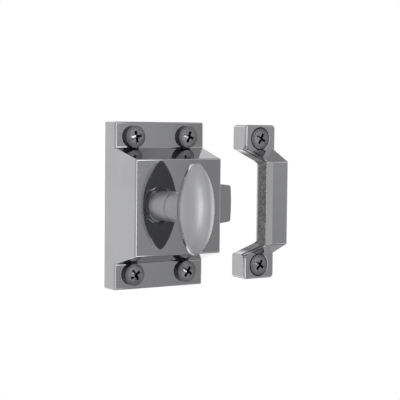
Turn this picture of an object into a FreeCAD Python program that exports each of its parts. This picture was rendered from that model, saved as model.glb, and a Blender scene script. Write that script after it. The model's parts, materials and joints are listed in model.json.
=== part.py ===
"""Surface-mounted turn catch with its separate keeper, in millimetres.

Frame: X to the right, Y into the door that the catch is screwed to, Z up.
The origin is the centre of the case's back face, so every mounting face lies
in the plane Y = 0 and the front looks along -Y. A depth below is a distance
in front of that plane. The bolt leaves the case through its right side, and
the keeper stands to the right of it.
"""
import FreeCAD, Part
import math
import os

from FreeCAD import Vector

CENTRE = Vector(0, 0, 0)
X_AXIS = Vector(1, 0, 0)
Y_AXIS = Vector(0, 1, 0)
Z_AXIS = Vector(0, 0, 1)
BEYOND = 1.0
SAME_PLACE = 0.01
PARALLEL = 0.99

# Case: one casting, with a thin land for the screws above and below the raised front
CASE_HEIGHT = 54.0
CASE_WIDTH = 34.2
CASE_DEPTH = 17.7
SIDE_DRAFT = 1.0
LAND_DEPTH = 6.0
LAND_HEIGHT = 8.4
SLOPE_RUN = 3.3
CASE_EDGE = 0.45
FRONT_WALL = 2.5
SIDE_WALL = 2.0
CAVITY_HEIGHT = 25.2

# Back plate: sheet steel let in flush, with two bent-up tabs that guide the bolt's tail
PLATE_THICKNESS = 1.2
PLATE_LEDGE_X = 0.9
PLATE_LEDGE_Z = 5.2
PLATE_CORNER = 2.0
PLATE_GAP = 0.05
TAB_WIDTH = 6.0
TAB_THICKNESS = 1.2

# Countersunk screws that hold the back plate
PLATE_SCREW_RADIUS = 1.25
PLATE_SCREW_HEAD_RADIUS = 2.25
PLATE_SCREW_LENGTH = 5.0
PLATE_SCREW_POINT = 0.6
PLATE_HOLE_RADIUS = 1.35
COUNTERSINK_HALF_ANGLE = 41.0

# Bolt: the flat front faces the viewer and the bevel is behind
BOLT_FRONT = 9.4
BOLT_HEIGHT = 13.3
BOLT_PROJECTION = 9.6
BOLT_TIP_HEIGHT = 12.2
BOLT_TIP_TAPER = 5.0
BOLT_TIP_BOW = 0.3
BOLT_TIP_THICKNESS = 2.0
BOLT_TIP_CORNER = 0.7
BOLT_EDGE = 0.25
SLIDE_CLEARANCE = 0.1
TAIL_THICKNESS = 3.0
SHOULDER_THICKNESS = 2.2
SHOULDER_DROP = 1.8
LUG_THICKNESS = 2.0
LUG_CLEARANCE = 0.25

# Compression spring and its guide pin, above the bolt
SPRING_WIRE = 0.5
SPRING_MEAN_RADIUS = 1.8
SPRING_HEIGHT = 9.3
SPRING_DEPTH = 8.0
SPRING_TURNS = 6
SPRING_WIRE_SIDES = 6
GUIDE_PIN_RADIUS = 1.0
GUIDE_PIN_LENGTH = 14.0
EAR_MARGIN = 0.5

# Knob and spindle, turning about an axis along Y
SPINDLE_X = -0.8
SPINDLE_RADIUS = 3.2
SPINDLE_RUNNING_GAP = 0.05
END_PLAY = 0.1
SQUARE_SIDE = 4.5
SQUARE_CLEARANCE = 0.05
SPINDLE_SOCKET = 6.7
NECK_RADIUS = 4.85
NECK_LENGTH = 9.7
NECK_FLARE = 1.4
KNOB_HALF_HEIGHT = 14.5
KNOB_HALF_WIDTH = 6.5
KNOB_TIP_RADIUS = 2.3
KNOB_DEPTH = 5.0
KNOB_CROWN_ACROSS = 8.5
KNOB_CROWN_ALONG = 30.0
KNOB_FRONT_ROUND = 0.8
KNOB_BACK_CHAMFER = 0.3

# Cam: its working edge is an involute, so the bolt moves in step with the knob
TURN_DEGREES = 80.0
CAM_BASE_RADIUS = 5.5
CAM_START_LIFT = 3.2
CAM_THICKNESS = 3.4
CAM_HUB_RADIUS = 4.6
CAM_TIP_ROUND = 0.4
CAM_CLEARANCE = 0.06
CAM_TO_TAIL = 0.5
CAM_EDGE_POINTS = 7
WASHER_RADIUS = 3.4
WASHER_THICKNESS = 0.6
CAM_SCREW_RADIUS = 1.5
CAM_SCREW_LENGTH = 6.0
CAM_SCREW_HEAD_RADIUS = 2.6
CAM_SCREW_HEAD_HEIGHT = 1.6
CAM_SCREW_HEAD_CHAMFER = 0.5
CAM_SCREW_HOLE_CLEARANCE = 0.1
CAM_CLAMP_GAP = 0.1
SLOT_MARGIN = 0.3

# Raised-head wood screws of the case and the keeper
SCREW_HEAD_RADIUS = 3.55
SCREW_RIM = 0.35
SCREW_CROWN = 0.55
SCREW_CROWN_RADIUS = 1.6
SCREW_SHANK_RADIUS = 1.35
SCREW_THREAD_RADIUS = 1.75
SCREW_LENGTH = 12.7
SCREW_POINT = 2.5
SCREW_HOLE_RADIUS = 1.95
CASE_SCREW_INSET_X = 7.1
CASE_SCREW_INSET_Z = 4.8
CASE_SCREW_PROUD = 1.3
KEEPER_SCREW_INSET = 4.7
KEEPER_COUNTERSINK_RADIUS = 3.98

# Cross recesses, for the wood screws and for the small machine screws
RECESS_RADIUS = 2.15
RECESS_FLOOR_RADIUS = 0.75
RECESS_DEPTH = 2.0
RECESS_SLOT = 1.05
SMALL_RECESS_SCALE = 0.55

# How far each recess is turned, clockwise as seen from the front
CASE_SCREW_TURN = {
    ("upper", "left"): -11.0,
    ("upper", "right"): 17.5,
    ("lower", "left"): -33.0,
    ("lower", "right"): 32.0,
}
KEEPER_SCREW_TURN = {"upper": 27.0, "lower": 32.0}

# Keeper: a cast bridge on two feet, open on the left where the bolt enters
KEEPER_LEFT = 33.4
KEEPER_WIDTH = 12.6
KEEPER_HEIGHT = 52.8
KEEPER_DEPTH = 14.8
FOOT_DEPTH = 7.1
FOOT_HEIGHT = 8.5
KEEPER_SLOPE_RUN = 3.8
BRIDGE_THICKNESS = 5.0
KEEPER_WALL = 2.4
POCKET_MOUTH_HEIGHT = 36.4
POCKET_ROOF_HEIGHT = 25.8
LIP_INSET = 3.5
LIP_WIDTH = 2.55
LIP_FALL = 0.5
KEEPER_CORNER = 1.3
KEEPER_EDGE = 0.6

# Which way is up or right, for the pieces that repeat
ROWS = {"upper": 1, "lower": -1}
COLUMNS = {"left": -1, "right": 1}


def case_side(depth):
    """Half width of the tapered case at a depth in front of its back."""
    return CASE_WIDTH / 2 - SIDE_DRAFT * depth / CASE_DEPTH


# Places that follow from the sizes above
CASE_SCREW_SPACING_X = CASE_WIDTH - 2 * CASE_SCREW_INSET_X
CASE_SCREW_SPACING_Z = CASE_HEIGHT - 2 * CASE_SCREW_INSET_Z
KEEPER_SCREW_SPACING = KEEPER_HEIGHT - 2 * KEEPER_SCREW_INSET
COUNTERSINK_SLOPE = math.tan(math.radians(COUNTERSINK_HALF_ANGLE))
CAVITY_FRONT = CASE_DEPTH - FRONT_WALL
CAVITY_HALF_WIDTH = case_side(CAVITY_FRONT) - SIDE_WALL
CAVITY_HALF_HEIGHT = CAVITY_HEIGHT / 2
PLATE_SCREW_Z = CAVITY_HALF_HEIGHT + PLATE_LEDGE_Z / 2
BOLT_HALF_HEIGHT = BOLT_HEIGHT / 2
BOLT_BACK = PLATE_THICKNESS + SLIDE_CLEARANCE
BOLT_TIP = case_side(BOLT_FRONT) + BOLT_PROJECTION
BOLT_STROKE = CAM_BASE_RADIUS * math.radians(TURN_DEGREES)
TAIL_FRONT = BOLT_BACK + TAIL_THICKNESS
TAIL_GUIDE = BOLT_HALF_HEIGHT + SLIDE_CLEARANCE
CAM_BACK = TAIL_FRONT + CAM_TO_TAIL
CAM_FRONT = CAM_BACK + CAM_THICKNESS
HUB_FRONT = CAVITY_FRONT - END_PLAY
WASHER_BACK = CAM_BACK - WASHER_THICKNESS
SQUARE_BACK = CAM_BACK + CAM_CLAMP_GAP
LUG_RIGHT = SPINDLE_X - CAM_START_LIFT - CAM_CLEARANCE
LUG_LEFT = LUG_RIGHT - LUG_THICKNESS
SHOULDER_RIGHT = CAVITY_HALF_WIDTH - SLIDE_CLEARANCE
SHOULDER_LEFT = SHOULDER_RIGHT - SHOULDER_THICKNESS
SPRING_RADIUS = SPRING_MEAN_RADIUS + SPRING_WIRE / 2
NECK_FRONT = CASE_DEPTH + END_PLAY
KNOB_BACK = NECK_FRONT + NECK_LENGTH
KEEPER_RIGHT = KEEPER_LEFT + KEEPER_WIDTH
KEEPER_MIDDLE = KEEPER_LEFT + KEEPER_WIDTH / 2
LIP_LEFT = KEEPER_LEFT + LIP_INSET
CASE_SCREW_RIM = LAND_DEPTH + CASE_SCREW_PROUD
KEEPER_SCREW_SINK = (KEEPER_COUNTERSINK_RADIUS - SCREW_HEAD_RADIUS) / COUNTERSINK_SLOPE
KEEPER_SCREW_RIM = FOOT_DEPTH - KEEPER_SCREW_SINK + SCREW_RIM


# Plain solids


def box(x0, x1, front, back, z0, z1):
    """Block from x0 to x1 and z0 to z1, between two depths."""
    return Part.makeBox(x1 - x0, front - back, z1 - z0, Vector(x0, -front, z0))


def rod(x, z, radius, front, back):
    """Cylinder along Y between two depths."""
    return Part.makeCylinder(radius, front - back, Vector(x, -front, z), Y_AXIS)


def cone(x, z, front, front_radius, back, back_radius):
    """Cone along Y, with its radius at the front and at the back depth."""
    return Part.makeCone(front_radius, back_radius, front - back, Vector(x, -front, z), Y_AXIS)


def prism(points, along):
    """Closed outline of straight lines, pushed along a vector."""
    return Part.Face(Part.makePolygon(points + points[:1])).extrude(along)


def side_prism(points, x0, x1):
    """Outline given as (depth, z), pushed from x0 to x1."""
    return prism([Vector(x0, -depth, z) for depth, z in points], X_AXIS * (x1 - x0))


def plan_prism(points, z0, z1):
    """Outline given as (x, depth), pushed from z0 to z1."""
    return prism([Vector(x, -depth, z0) for x, depth in points], Z_AXIS * (z1 - z0))


def front_prism(points, front, back):
    """Outline given as (x, z), pushed back between two depths."""
    return prism([Vector(x, -front, z) for x, z in points], Y_AXIS * (front - back))


def turned(edges, x=0.0, z=0.0):
    """Solid of revolution about an axis along Y; the profile's x is its radius."""
    profile = Part.Face(Part.Wire(edges))
    return profile.revolve(CENTRE, Y_AXIS, 360).translated(Vector(x, 0, z))


def path(*points):
    """Straight edges through points given as (radius, depth)."""
    corners = [Vector(radius, -depth, 0) for radius, depth in points]
    return [Part.makeLine(a, b) for a, b in zip(corners, corners[1:])]


def along_y(edge):
    """True for a straight edge that runs along Y."""
    return abs(edge.tangentAt(edge.FirstParameter).dot(Y_AXIS)) > PARALLEL


def rounded_plate(half_width, half_height, corner, front, back):
    """Plate centred on the origin with its four corners rounded."""
    plate = box(-half_width, half_width, front, back, -half_height, half_height)
    return plate.makeFillet(corner, [e for e in plate.Edges if along_y(e)])


def edges_off_back(shape):
    """Every edge that doesn't lie in the mounting plane."""
    return [e for e in shape.Edges if e.BoundBox.YMin < -SAME_PLACE]


def save(name, shape):
    """Check one node's solid and write it."""
    if not shape.isValid() or len(shape.Solids) != 1:
        raise ValueError(f"{name} is not one valid solid")
    shape.exportStep(f"parts/{name}.step")
    print(f"{name}: {shape.Volume:.1f} cubic mm")


# Screws


def cross_recess(scale=1.0):
    """Cross recess that opens towards -Y at the origin: two crossed slots with sloping ends."""
    reach = RECESS_RADIUS * scale
    floor = RECESS_FLOOR_RADIUS * scale
    half_slot = RECESS_SLOT * scale / 2
    depth = RECESS_DEPTH * scale
    left_side = [(-floor, -depth), (-reach, 0), (-reach, BEYOND)]
    right_side = [(-x, d) for x, d in reversed(left_side)]
    slot = plan_prism(left_side + right_side, -half_slot, half_slot)
    return slot.fuse(slot.rotated(CENTRE, Y_AXIS, 90))


def wood_screw(x, z, rim_front, turn):
    """Raised-head wood screw; its thread stands out behind the mounting plane."""
    cone_front = rim_front - SCREW_RIM
    cone_back = cone_front - (SCREW_HEAD_RADIUS - SCREW_SHANK_RADIUS) / COUNTERSINK_SLOPE
    crown_front = rim_front + SCREW_CROWN
    tip = rim_front - SCREW_LENGTH
    body = path(
        (0, crown_front),
        (SCREW_CROWN_RADIUS, crown_front),
        (SCREW_HEAD_RADIUS, rim_front),
        (SCREW_HEAD_RADIUS, cone_front),
        (SCREW_SHANK_RADIUS, cone_back),
        (SCREW_SHANK_RADIUS, 0),
        (SCREW_THREAD_RADIUS, 0),
        (SCREW_THREAD_RADIUS, tip + SCREW_POINT),
        (0, tip),
        (0, crown_front),
    )
    recess = cross_recess().rotated(CENTRE, Y_AXIS, turn).translated(Vector(x, -crown_front, z))
    return turned(body, x, z).cut(recess)


def screw_seat(x, z, depth, radius, land):
    """Clearance hole and countersink of a wood screw; the cone has this radius at this depth."""
    cone_end = depth - (radius - SCREW_HOLE_RADIUS) / COUNTERSINK_SLOPE
    seat = cone(x, z, depth, radius, cone_end, SCREW_HOLE_RADIUS)
    return seat.fuse(rod(x, z, SCREW_HOLE_RADIUS, land + BEYOND, -BEYOND))


def case_screw_places():
    """Row, column, x and z of each screw that holds the case."""
    for row, up in ROWS.items():
        for column, right in COLUMNS.items():
            yield row, column, right * CASE_SCREW_SPACING_X / 2, up * CASE_SCREW_SPACING_Z / 2


def keeper_screw_places():
    """Row, x and z of each screw that holds the keeper."""
    for row, up in ROWS.items():
        yield row, KEEPER_MIDDLE, up * KEEPER_SCREW_SPACING / 2


def plate_screw(z):
    """Countersunk machine screw, flush in the back plate and driven from behind."""
    cone_front = (PLATE_SCREW_HEAD_RADIUS - PLATE_SCREW_RADIUS) / COUNTERSINK_SLOPE
    point_radius = PLATE_SCREW_RADIUS - PLATE_SCREW_POINT / 2
    body = path(
        (0, 0),
        (PLATE_SCREW_HEAD_RADIUS, 0),
        (PLATE_SCREW_RADIUS, cone_front),
        (PLATE_SCREW_RADIUS, PLATE_SCREW_LENGTH - PLATE_SCREW_POINT),
        (point_radius, PLATE_SCREW_LENGTH),
        (0, PLATE_SCREW_LENGTH),
        (0, 0),
    )
    recess = cross_recess(SMALL_RECESS_SCALE).rotated(CENTRE, Z_AXIS, 180).translated(Z_AXIS * z)
    return turned(body, 0, z).cut(recess)


# Case and back plate


def case_blank():
    """Outside of the casting: its side profile met by its tapered plan, edges rounded."""
    half = CASE_HEIGHT / 2
    fold = half - LAND_HEIGHT
    crest = fold - SLOPE_RUN
    upper = [(CASE_DEPTH, crest), (LAND_DEPTH, fold), (LAND_DEPTH, half), (0, half)]
    lower = [(depth, -z) for depth, z in reversed(upper)]
    profile = side_prism(lower + upper, -CASE_WIDTH, CASE_WIDTH)
    back_half, front_half = case_side(0), case_side(CASE_DEPTH)
    plan = [(-back_half, 0), (back_half, 0), (front_half, CASE_DEPTH), (-front_half, CASE_DEPTH)]
    blank = profile.common(plan_prism(plan, -CASE_HEIGHT, CASE_HEIGHT))
    return blank.makeFillet(CASE_EDGE, edges_off_back(blank))


def make_case():
    """Casting with the mechanism's cavity, the spindle bore, the bolt's slot and its screw seats."""
    case = case_blank()
    cavity = box(
        -CAVITY_HALF_WIDTH, CAVITY_HALF_WIDTH, CAVITY_FRONT, -BEYOND, -CAVITY_HALF_HEIGHT, CAVITY_HALF_HEIGHT
    )
    rebate = rounded_plate(
        CAVITY_HALF_WIDTH + PLATE_LEDGE_X + PLATE_GAP,
        CAVITY_HALF_HEIGHT + PLATE_LEDGE_Z + PLATE_GAP,
        PLATE_CORNER + PLATE_GAP,
        PLATE_THICKNESS,
        -BEYOND,
    )
    bore = rod(SPINDLE_X, 0, SPINDLE_RADIUS + SPINDLE_RUNNING_GAP, CASE_DEPTH + BEYOND, CAVITY_FRONT - BEYOND)
    slot = box(0, CASE_WIDTH, BOLT_FRONT + SLIDE_CLEARANCE, PLATE_THICKNESS, -TAIL_GUIDE, TAIL_GUIDE)
    case = case.cut(cavity).cut(rebate).cut(bore).cut(slot)
    for up in ROWS.values():
        case = case.cut(rod(0, up * PLATE_SCREW_Z, PLATE_SCREW_RADIUS, PLATE_SCREW_LENGTH, 0))
    for _, _, x, z in case_screw_places():
        case = case.cut(screw_seat(x, z, CASE_SCREW_RIM - SCREW_RIM, SCREW_HEAD_RADIUS, LAND_DEPTH))
    return case


def make_back_plate():
    """Steel plate flush with the back of the case, with its guide tabs and the windows they left."""
    plate = rounded_plate(
        CAVITY_HALF_WIDTH + PLATE_LEDGE_X, CAVITY_HALF_HEIGHT + PLATE_LEDGE_Z, PLATE_CORNER, PLATE_THICKNESS, 0
    )
    tab_left = SPINDLE_X - TAB_WIDTH / 2
    tab_right = SPINDLE_X + TAB_WIDTH / 2
    tab_outer = TAIL_GUIDE + TAB_THICKNESS
    tab_length = TAIL_FRONT - PLATE_THICKNESS
    countersink_end = (PLATE_SCREW_HEAD_RADIUS - PLATE_SCREW_RADIUS) / COUNTERSINK_SLOPE
    for up in ROWS.values():
        tab_z = sorted((up * TAIL_GUIDE, up * tab_outer))
        window_z = sorted((up * tab_outer, up * (tab_outer + tab_length)))
        screw_z = up * PLATE_SCREW_Z
        plate = plate.fuse(box(tab_left, tab_right, TAIL_FRONT, 0, *tab_z))
        plate = plate.cut(box(tab_left, tab_right, PLATE_THICKNESS + BEYOND, -BEYOND, *window_z))
        plate = plate.cut(rod(0, screw_z, PLATE_HOLE_RADIUS, PLATE_THICKNESS + BEYOND, 0))
        plate = plate.cut(cone(0, screw_z, countersink_end, PLATE_SCREW_RADIUS, 0, PLATE_SCREW_HEAD_RADIUS))
    return plate.removeSplitter()


# Bolt, guide pin and spring


def bolt_nose():
    """Nose of the bolt: tapered and slightly bowed at the tip, and bevelled behind."""
    taper_start = BOLT_TIP - BOLT_TIP_TAPER
    corner_x = BOLT_TIP - BOLT_TIP_BOW
    half_tip = BOLT_TIP_HEIGHT / 2
    front = -BOLT_FRONT
    lower = [
        Vector(SHOULDER_LEFT, front, -BOLT_HALF_HEIGHT),
        Vector(taper_start, front, -BOLT_HALF_HEIGHT),
        Vector(corner_x, front, -half_tip),
    ]
    upper = [Vector(p.x, p.y, -p.z) for p in reversed(lower)]
    end = Part.Arc(lower[-1], Vector(BOLT_TIP, front, 0), upper[0]).toShape()
    outline = [Part.makeLine(a, b) for a, b in zip(lower, lower[1:])]
    outline += [end]
    outline += [Part.makeLine(a, b) for a, b in zip(upper, upper[1:])]
    outline += [Part.makeLine(upper[-1], lower[0])]
    nose = Part.Face(Part.Wire(outline)).extrude(Y_AXIS * (BOLT_FRONT - BOLT_BACK))
    corners = [e for e in nose.Edges if along_y(e) and e.BoundBox.XMin > taper_start + BEYOND]
    nose = nose.makeFillet(BOLT_TIP_CORNER, corners)
    front_edges = [
        e for e in nose.Edges if e.BoundBox.YMax < front + SAME_PLACE and e.BoundBox.XMax > SHOULDER_RIGHT
    ]
    nose = nose.makeFillet(BOLT_EDGE, front_edges)
    bevel_start = case_side(0)
    bevel_end = BOLT_FRONT - BOLT_TIP_THICKNESS
    past = BOLT_TIP + BEYOND
    rise = (bevel_end - BOLT_BACK) * (past - bevel_start) / (BOLT_TIP - bevel_start)
    bevel = [(bevel_start, BOLT_BACK), (past, BOLT_BACK + rise), (past, -BEYOND), (bevel_start, -BEYOND)]
    return nose.cut(plan_prism(bevel, -BOLT_HEIGHT, BOLT_HEIGHT))


def make_bolt():
    """Bolt casting: nose, stop shoulders, spring ear, slotted tail and the lug that the cam pushes."""
    ear_top = SPRING_HEIGHT + SPRING_RADIUS + EAR_MARGIN
    ear_front = SPRING_DEPTH + SPRING_RADIUS + EAR_MARGIN
    shoulder_foot = BOLT_HALF_HEIGHT + SHOULDER_DROP
    tail_end = SHOULDER_LEFT + SHOULDER_THICKNESS / 2
    lug_top = CAM_HUB_RADIUS + LUG_CLEARANCE
    bolt = bolt_nose()
    bolt = bolt.fuse(box(LUG_LEFT, tail_end, TAIL_FRONT, BOLT_BACK, -BOLT_HALF_HEIGHT, BOLT_HALF_HEIGHT))
    bolt = bolt.fuse(box(SHOULDER_LEFT, SHOULDER_RIGHT, ear_front, BOLT_BACK, 0, ear_top))
    bolt = bolt.fuse(box(SHOULDER_LEFT, SHOULDER_RIGHT, BOLT_FRONT, BOLT_BACK, -shoulder_foot, 0))
    bolt = bolt.fuse(box(LUG_LEFT, LUG_RIGHT, CAM_FRONT, BOLT_BACK, -BOLT_HALF_HEIGHT, -lug_top))
    slot_radius = WASHER_RADIUS + SLOT_MARGIN
    slot_end = SPINDLE_X + BOLT_STROKE
    slot = box(SPINDLE_X, slot_end, TAIL_FRONT, BOLT_BACK, -slot_radius, slot_radius)
    for x in (SPINDLE_X, slot_end):
        slot = slot.fuse(rod(x, 0, slot_radius, TAIL_FRONT, BOLT_BACK))
    return bolt.cut(slot).cut(make_guide_pin()).removeSplitter()


def make_guide_pin():
    """Steel pin pressed through the bolt's ear, which the spring lies round."""
    start = Vector(SHOULDER_LEFT - GUIDE_PIN_LENGTH, -SPRING_DEPTH, SPRING_HEIGHT)
    return Part.makeCylinder(GUIDE_PIN_RADIUS, GUIDE_PIN_LENGTH + SHOULDER_THICKNESS, start, X_AXIS)


def make_spring():
    """Open-coiled compression spring between the case's left wall and the bolt's ear."""
    length = SHOULDER_LEFT + CAVITY_HALF_WIDTH - SPRING_WIRE
    coil = Part.makeHelix(length / SPRING_TURNS, length, SPRING_MEAN_RADIUS)
    middle = Vector(SPRING_MEAN_RADIUS, 0, 0)
    step = 360 / SPRING_WIRE_SIDES
    first = X_AXIS * (SPRING_WIRE / 2)
    turns = [FreeCAD.Rotation(Y_AXIS, step * (i + 0.5)) for i in range(SPRING_WIRE_SIDES)]
    corners = [middle + turn.multVec(first) for turn in turns]
    section = Part.Wire(Part.makePolygon(corners + corners[:1]))
    spring = Part.Wire(coil).makePipeShell([section], True, True)
    spring = spring.rotated(CENTRE, Y_AXIS, 90)
    return spring.translated(Vector(SPRING_WIRE / 2 - CAVITY_HALF_WIDTH, -SPRING_DEPTH, SPRING_HEIGHT))


# Knob, spindle and cam


def knob_outline():
    """Pointed oval of four arcs in the plane of the knob's back: two long sides, two small tips."""
    tip_centre = KNOB_HALF_HEIGHT - KNOB_TIP_RADIUS
    side_radius = (KNOB_HALF_WIDTH**2 + tip_centre**2 - KNOB_TIP_RADIUS**2) / (
        2 * (KNOB_HALF_WIDTH - KNOB_TIP_RADIUS)
    )
    side_centre = side_radius - KNOB_HALF_WIDTH
    reach = side_radius / math.hypot(side_centre, tip_centre)
    joint = Vector(side_centre * (reach - 1), -KNOB_BACK, tip_centre * reach)
    corners = [Vector(x * joint.x, joint.y, z * joint.z) for x, z in ((1, -1), (1, 1), (-1, 1), (-1, -1))]
    middles = [
        Vector(KNOB_HALF_WIDTH, joint.y, 0),
        Vector(0, joint.y, KNOB_HALF_HEIGHT),
        Vector(-KNOB_HALF_WIDTH, joint.y, 0),
        Vector(0, joint.y, -KNOB_HALF_HEIGHT),
    ]
    ends = corners[1:] + corners[:1]
    return Part.Wire([Part.Arc(a, b, c).toShape() for a, b, c in zip(corners, middles, ends)])


def make_knob_head():
    """Head of the knob: the oval crowned both ways, rounded in front and chamfered behind."""
    blank = Part.Face(knob_outline()).extrude(Y_AXIS * -(KNOB_DEPTH + BEYOND))
    apex = KNOB_BACK + KNOB_DEPTH
    across = Part.makeCircle(KNOB_CROWN_ACROSS, Vector(0, KNOB_CROWN_ACROSS - apex, 0), Z_AXIS)
    along_centre = Vector(0, KNOB_CROWN_ALONG - apex, 0)
    sweep = 2 * math.degrees(math.asin((KNOB_HALF_HEIGHT + BEYOND) / KNOB_CROWN_ALONG))
    crown = Part.Face(Part.Wire(across)).rotated(along_centre, X_AXIS, -sweep / 2)
    head = blank.common(crown.revolve(along_centre, X_AXIS, sweep))
    sides = [e for e in head.Edges if not along_y(e)]
    head = head.makeFillet(KNOB_FRONT_ROUND, [e for e in sides if e.BoundBox.YMax < -KNOB_BACK - SAME_PLACE])
    back_rim = [e for e in head.Edges if e.BoundBox.YMin > -KNOB_BACK - SAME_PLACE]
    return head.makeChamfer(KNOB_BACK_CHAMFER, back_rim)


def make_knob():
    """Oval domed knob on a round neck that flares into its back, bored for the spindle."""
    flare_start = KNOB_BACK - NECK_FLARE
    flare_outer = NECK_RADIUS + NECK_FLARE
    bend = NECK_FLARE * (1 - math.sqrt(0.5))
    flare = Part.Arc(
        Vector(NECK_RADIUS, -flare_start, 0),
        Vector(NECK_RADIUS + bend, bend - KNOB_BACK, 0),
        Vector(flare_outer, -KNOB_BACK, 0),
    )
    neck = path((0, NECK_FRONT), (NECK_RADIUS, NECK_FRONT), (NECK_RADIUS, flare_start))
    neck += [flare.toShape()]
    neck += path((flare_outer, KNOB_BACK), (0, KNOB_BACK), (0, NECK_FRONT))
    socket = rod(0, 0, SPINDLE_RADIUS, NECK_FRONT + SPINDLE_SOCKET, NECK_FRONT)
    return make_knob_head().fuse(turned(neck)).cut(socket).translated(X_AXIS * SPINDLE_X)


def make_spindle():
    """Round steel spindle with a square end, tapped for the cam's screw."""
    half = SQUARE_SIDE / 2
    shank = rod(SPINDLE_X, 0, SPINDLE_RADIUS, NECK_FRONT + SPINDLE_SOCKET, HUB_FRONT)
    square = box(SPINDLE_X - half, SPINDLE_X + half, HUB_FRONT, SQUARE_BACK, -half, half)
    hole = rod(SPINDLE_X, 0, CAM_SCREW_RADIUS, CAM_BACK + CAM_SCREW_LENGTH, SQUARE_BACK)
    return shank.fuse(square).cut(hole)


def involute_point(angle):
    """Point of the cam's working edge, as (x, z) from the spindle, met after this much turn."""
    lift = CAM_START_LIFT + CAM_BASE_RADIUS * angle
    x = CAM_BASE_RADIUS * math.sin(angle) - lift * math.cos(angle)
    z = -CAM_BASE_RADIUS * math.cos(angle) - lift * math.sin(angle)
    return Vector(x, -CAM_FRONT, z)


def make_cam():
    """Cam that draws the bolt back: a hub on the spindle's square and an involute finger."""
    full_turn = math.radians(TURN_DEGREES)
    steps = [full_turn * i / (CAM_EDGE_POINTS - 1) for i in range(CAM_EDGE_POINTS)]
    edge_points = [involute_point(angle) for angle in steps]
    working_edge = Part.BSplineCurve()
    working_edge.interpolate(edge_points)
    start, tip = edge_points[0], edge_points[-1]
    hub_side = Vector(CAM_HUB_RADIUS, -CAM_FRONT, 0)
    inside = Vector(-CAM_START_LIFT, -CAM_FRONT, 0)
    outline = [working_edge.toShape()]
    outline += [Part.makeLine(a, b) for a, b in ((tip, hub_side), (hub_side, inside), (inside, start))]
    finger = Part.Face(Part.Wire(outline)).extrude(Y_AXIS * CAM_THICKNESS)
    tip_edge = [e for e in finger.Edges if along_y(e) and e.CenterOfMass.z < tip.z + SAME_PLACE]
    finger = finger.makeFillet(CAM_TIP_ROUND, tip_edge)
    half_square = SQUARE_SIDE / 2 + SQUARE_CLEARANCE
    hole = box(-half_square, half_square, HUB_FRONT, CAM_BACK, -half_square, half_square)
    cam = finger.fuse(rod(0, 0, CAM_HUB_RADIUS, HUB_FRONT, CAM_BACK)).cut(hole)
    return cam.translated(X_AXIS * SPINDLE_X)


def make_washer():
    """Washer that holds the cam on the spindle."""
    disc = rod(SPINDLE_X, 0, WASHER_RADIUS, CAM_BACK, WASHER_BACK)
    return disc.cut(rod(SPINDLE_X, 0, CAM_SCREW_RADIUS + CAM_SCREW_HOLE_CLEARANCE, CAM_BACK, WASHER_BACK))


def make_cam_screw():
    """Pan-head machine screw in the end of the spindle, driven from behind."""
    head_back = WASHER_BACK - CAM_SCREW_HEAD_HEIGHT
    head = rod(SPINDLE_X, 0, CAM_SCREW_HEAD_RADIUS, WASHER_BACK, head_back)
    rim = [e for e in head.Edges if not along_y(e) and e.BoundBox.YMin > -head_back - SAME_PLACE]
    head = head.makeChamfer(CAM_SCREW_HEAD_CHAMFER, rim)
    shank = rod(SPINDLE_X, 0, CAM_SCREW_RADIUS, CAM_BACK + CAM_SCREW_LENGTH, WASHER_BACK)
    recess = cross_recess(SMALL_RECESS_SCALE).rotated(CENTRE, Z_AXIS, 180)
    return head.fuse(shank).cut(recess.translated(Vector(SPINDLE_X, -head_back, 0)))


# Keeper


def keeper_profile(x0, x1):
    """Side profile of the keeper: foot, slope, bridge, slope and foot."""
    half = KEEPER_HEIGHT / 2
    fold = half - FOOT_HEIGHT
    crest = fold - KEEPER_SLOPE_RUN
    upper = [(KEEPER_DEPTH, crest), (FOOT_DEPTH, fold), (FOOT_DEPTH, half), (0, half)]
    lower = [(depth, -z) for depth, z in reversed(upper)]
    return side_prism(lower + upper, x0, x1)


def in_keeper_fold(edge):
    """True for an edge in the inner corner where a foot meets its slope."""
    bounds = edge.BoundBox
    level = abs(bounds.YMin + FOOT_DEPTH) < SAME_PLACE and abs(bounds.YMax + FOOT_DEPTH) < SAME_PLACE
    return level and abs(abs(edge.CenterOfMass.z) + FOOT_HEIGHT - KEEPER_HEIGHT / 2) < SAME_PLACE


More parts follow.
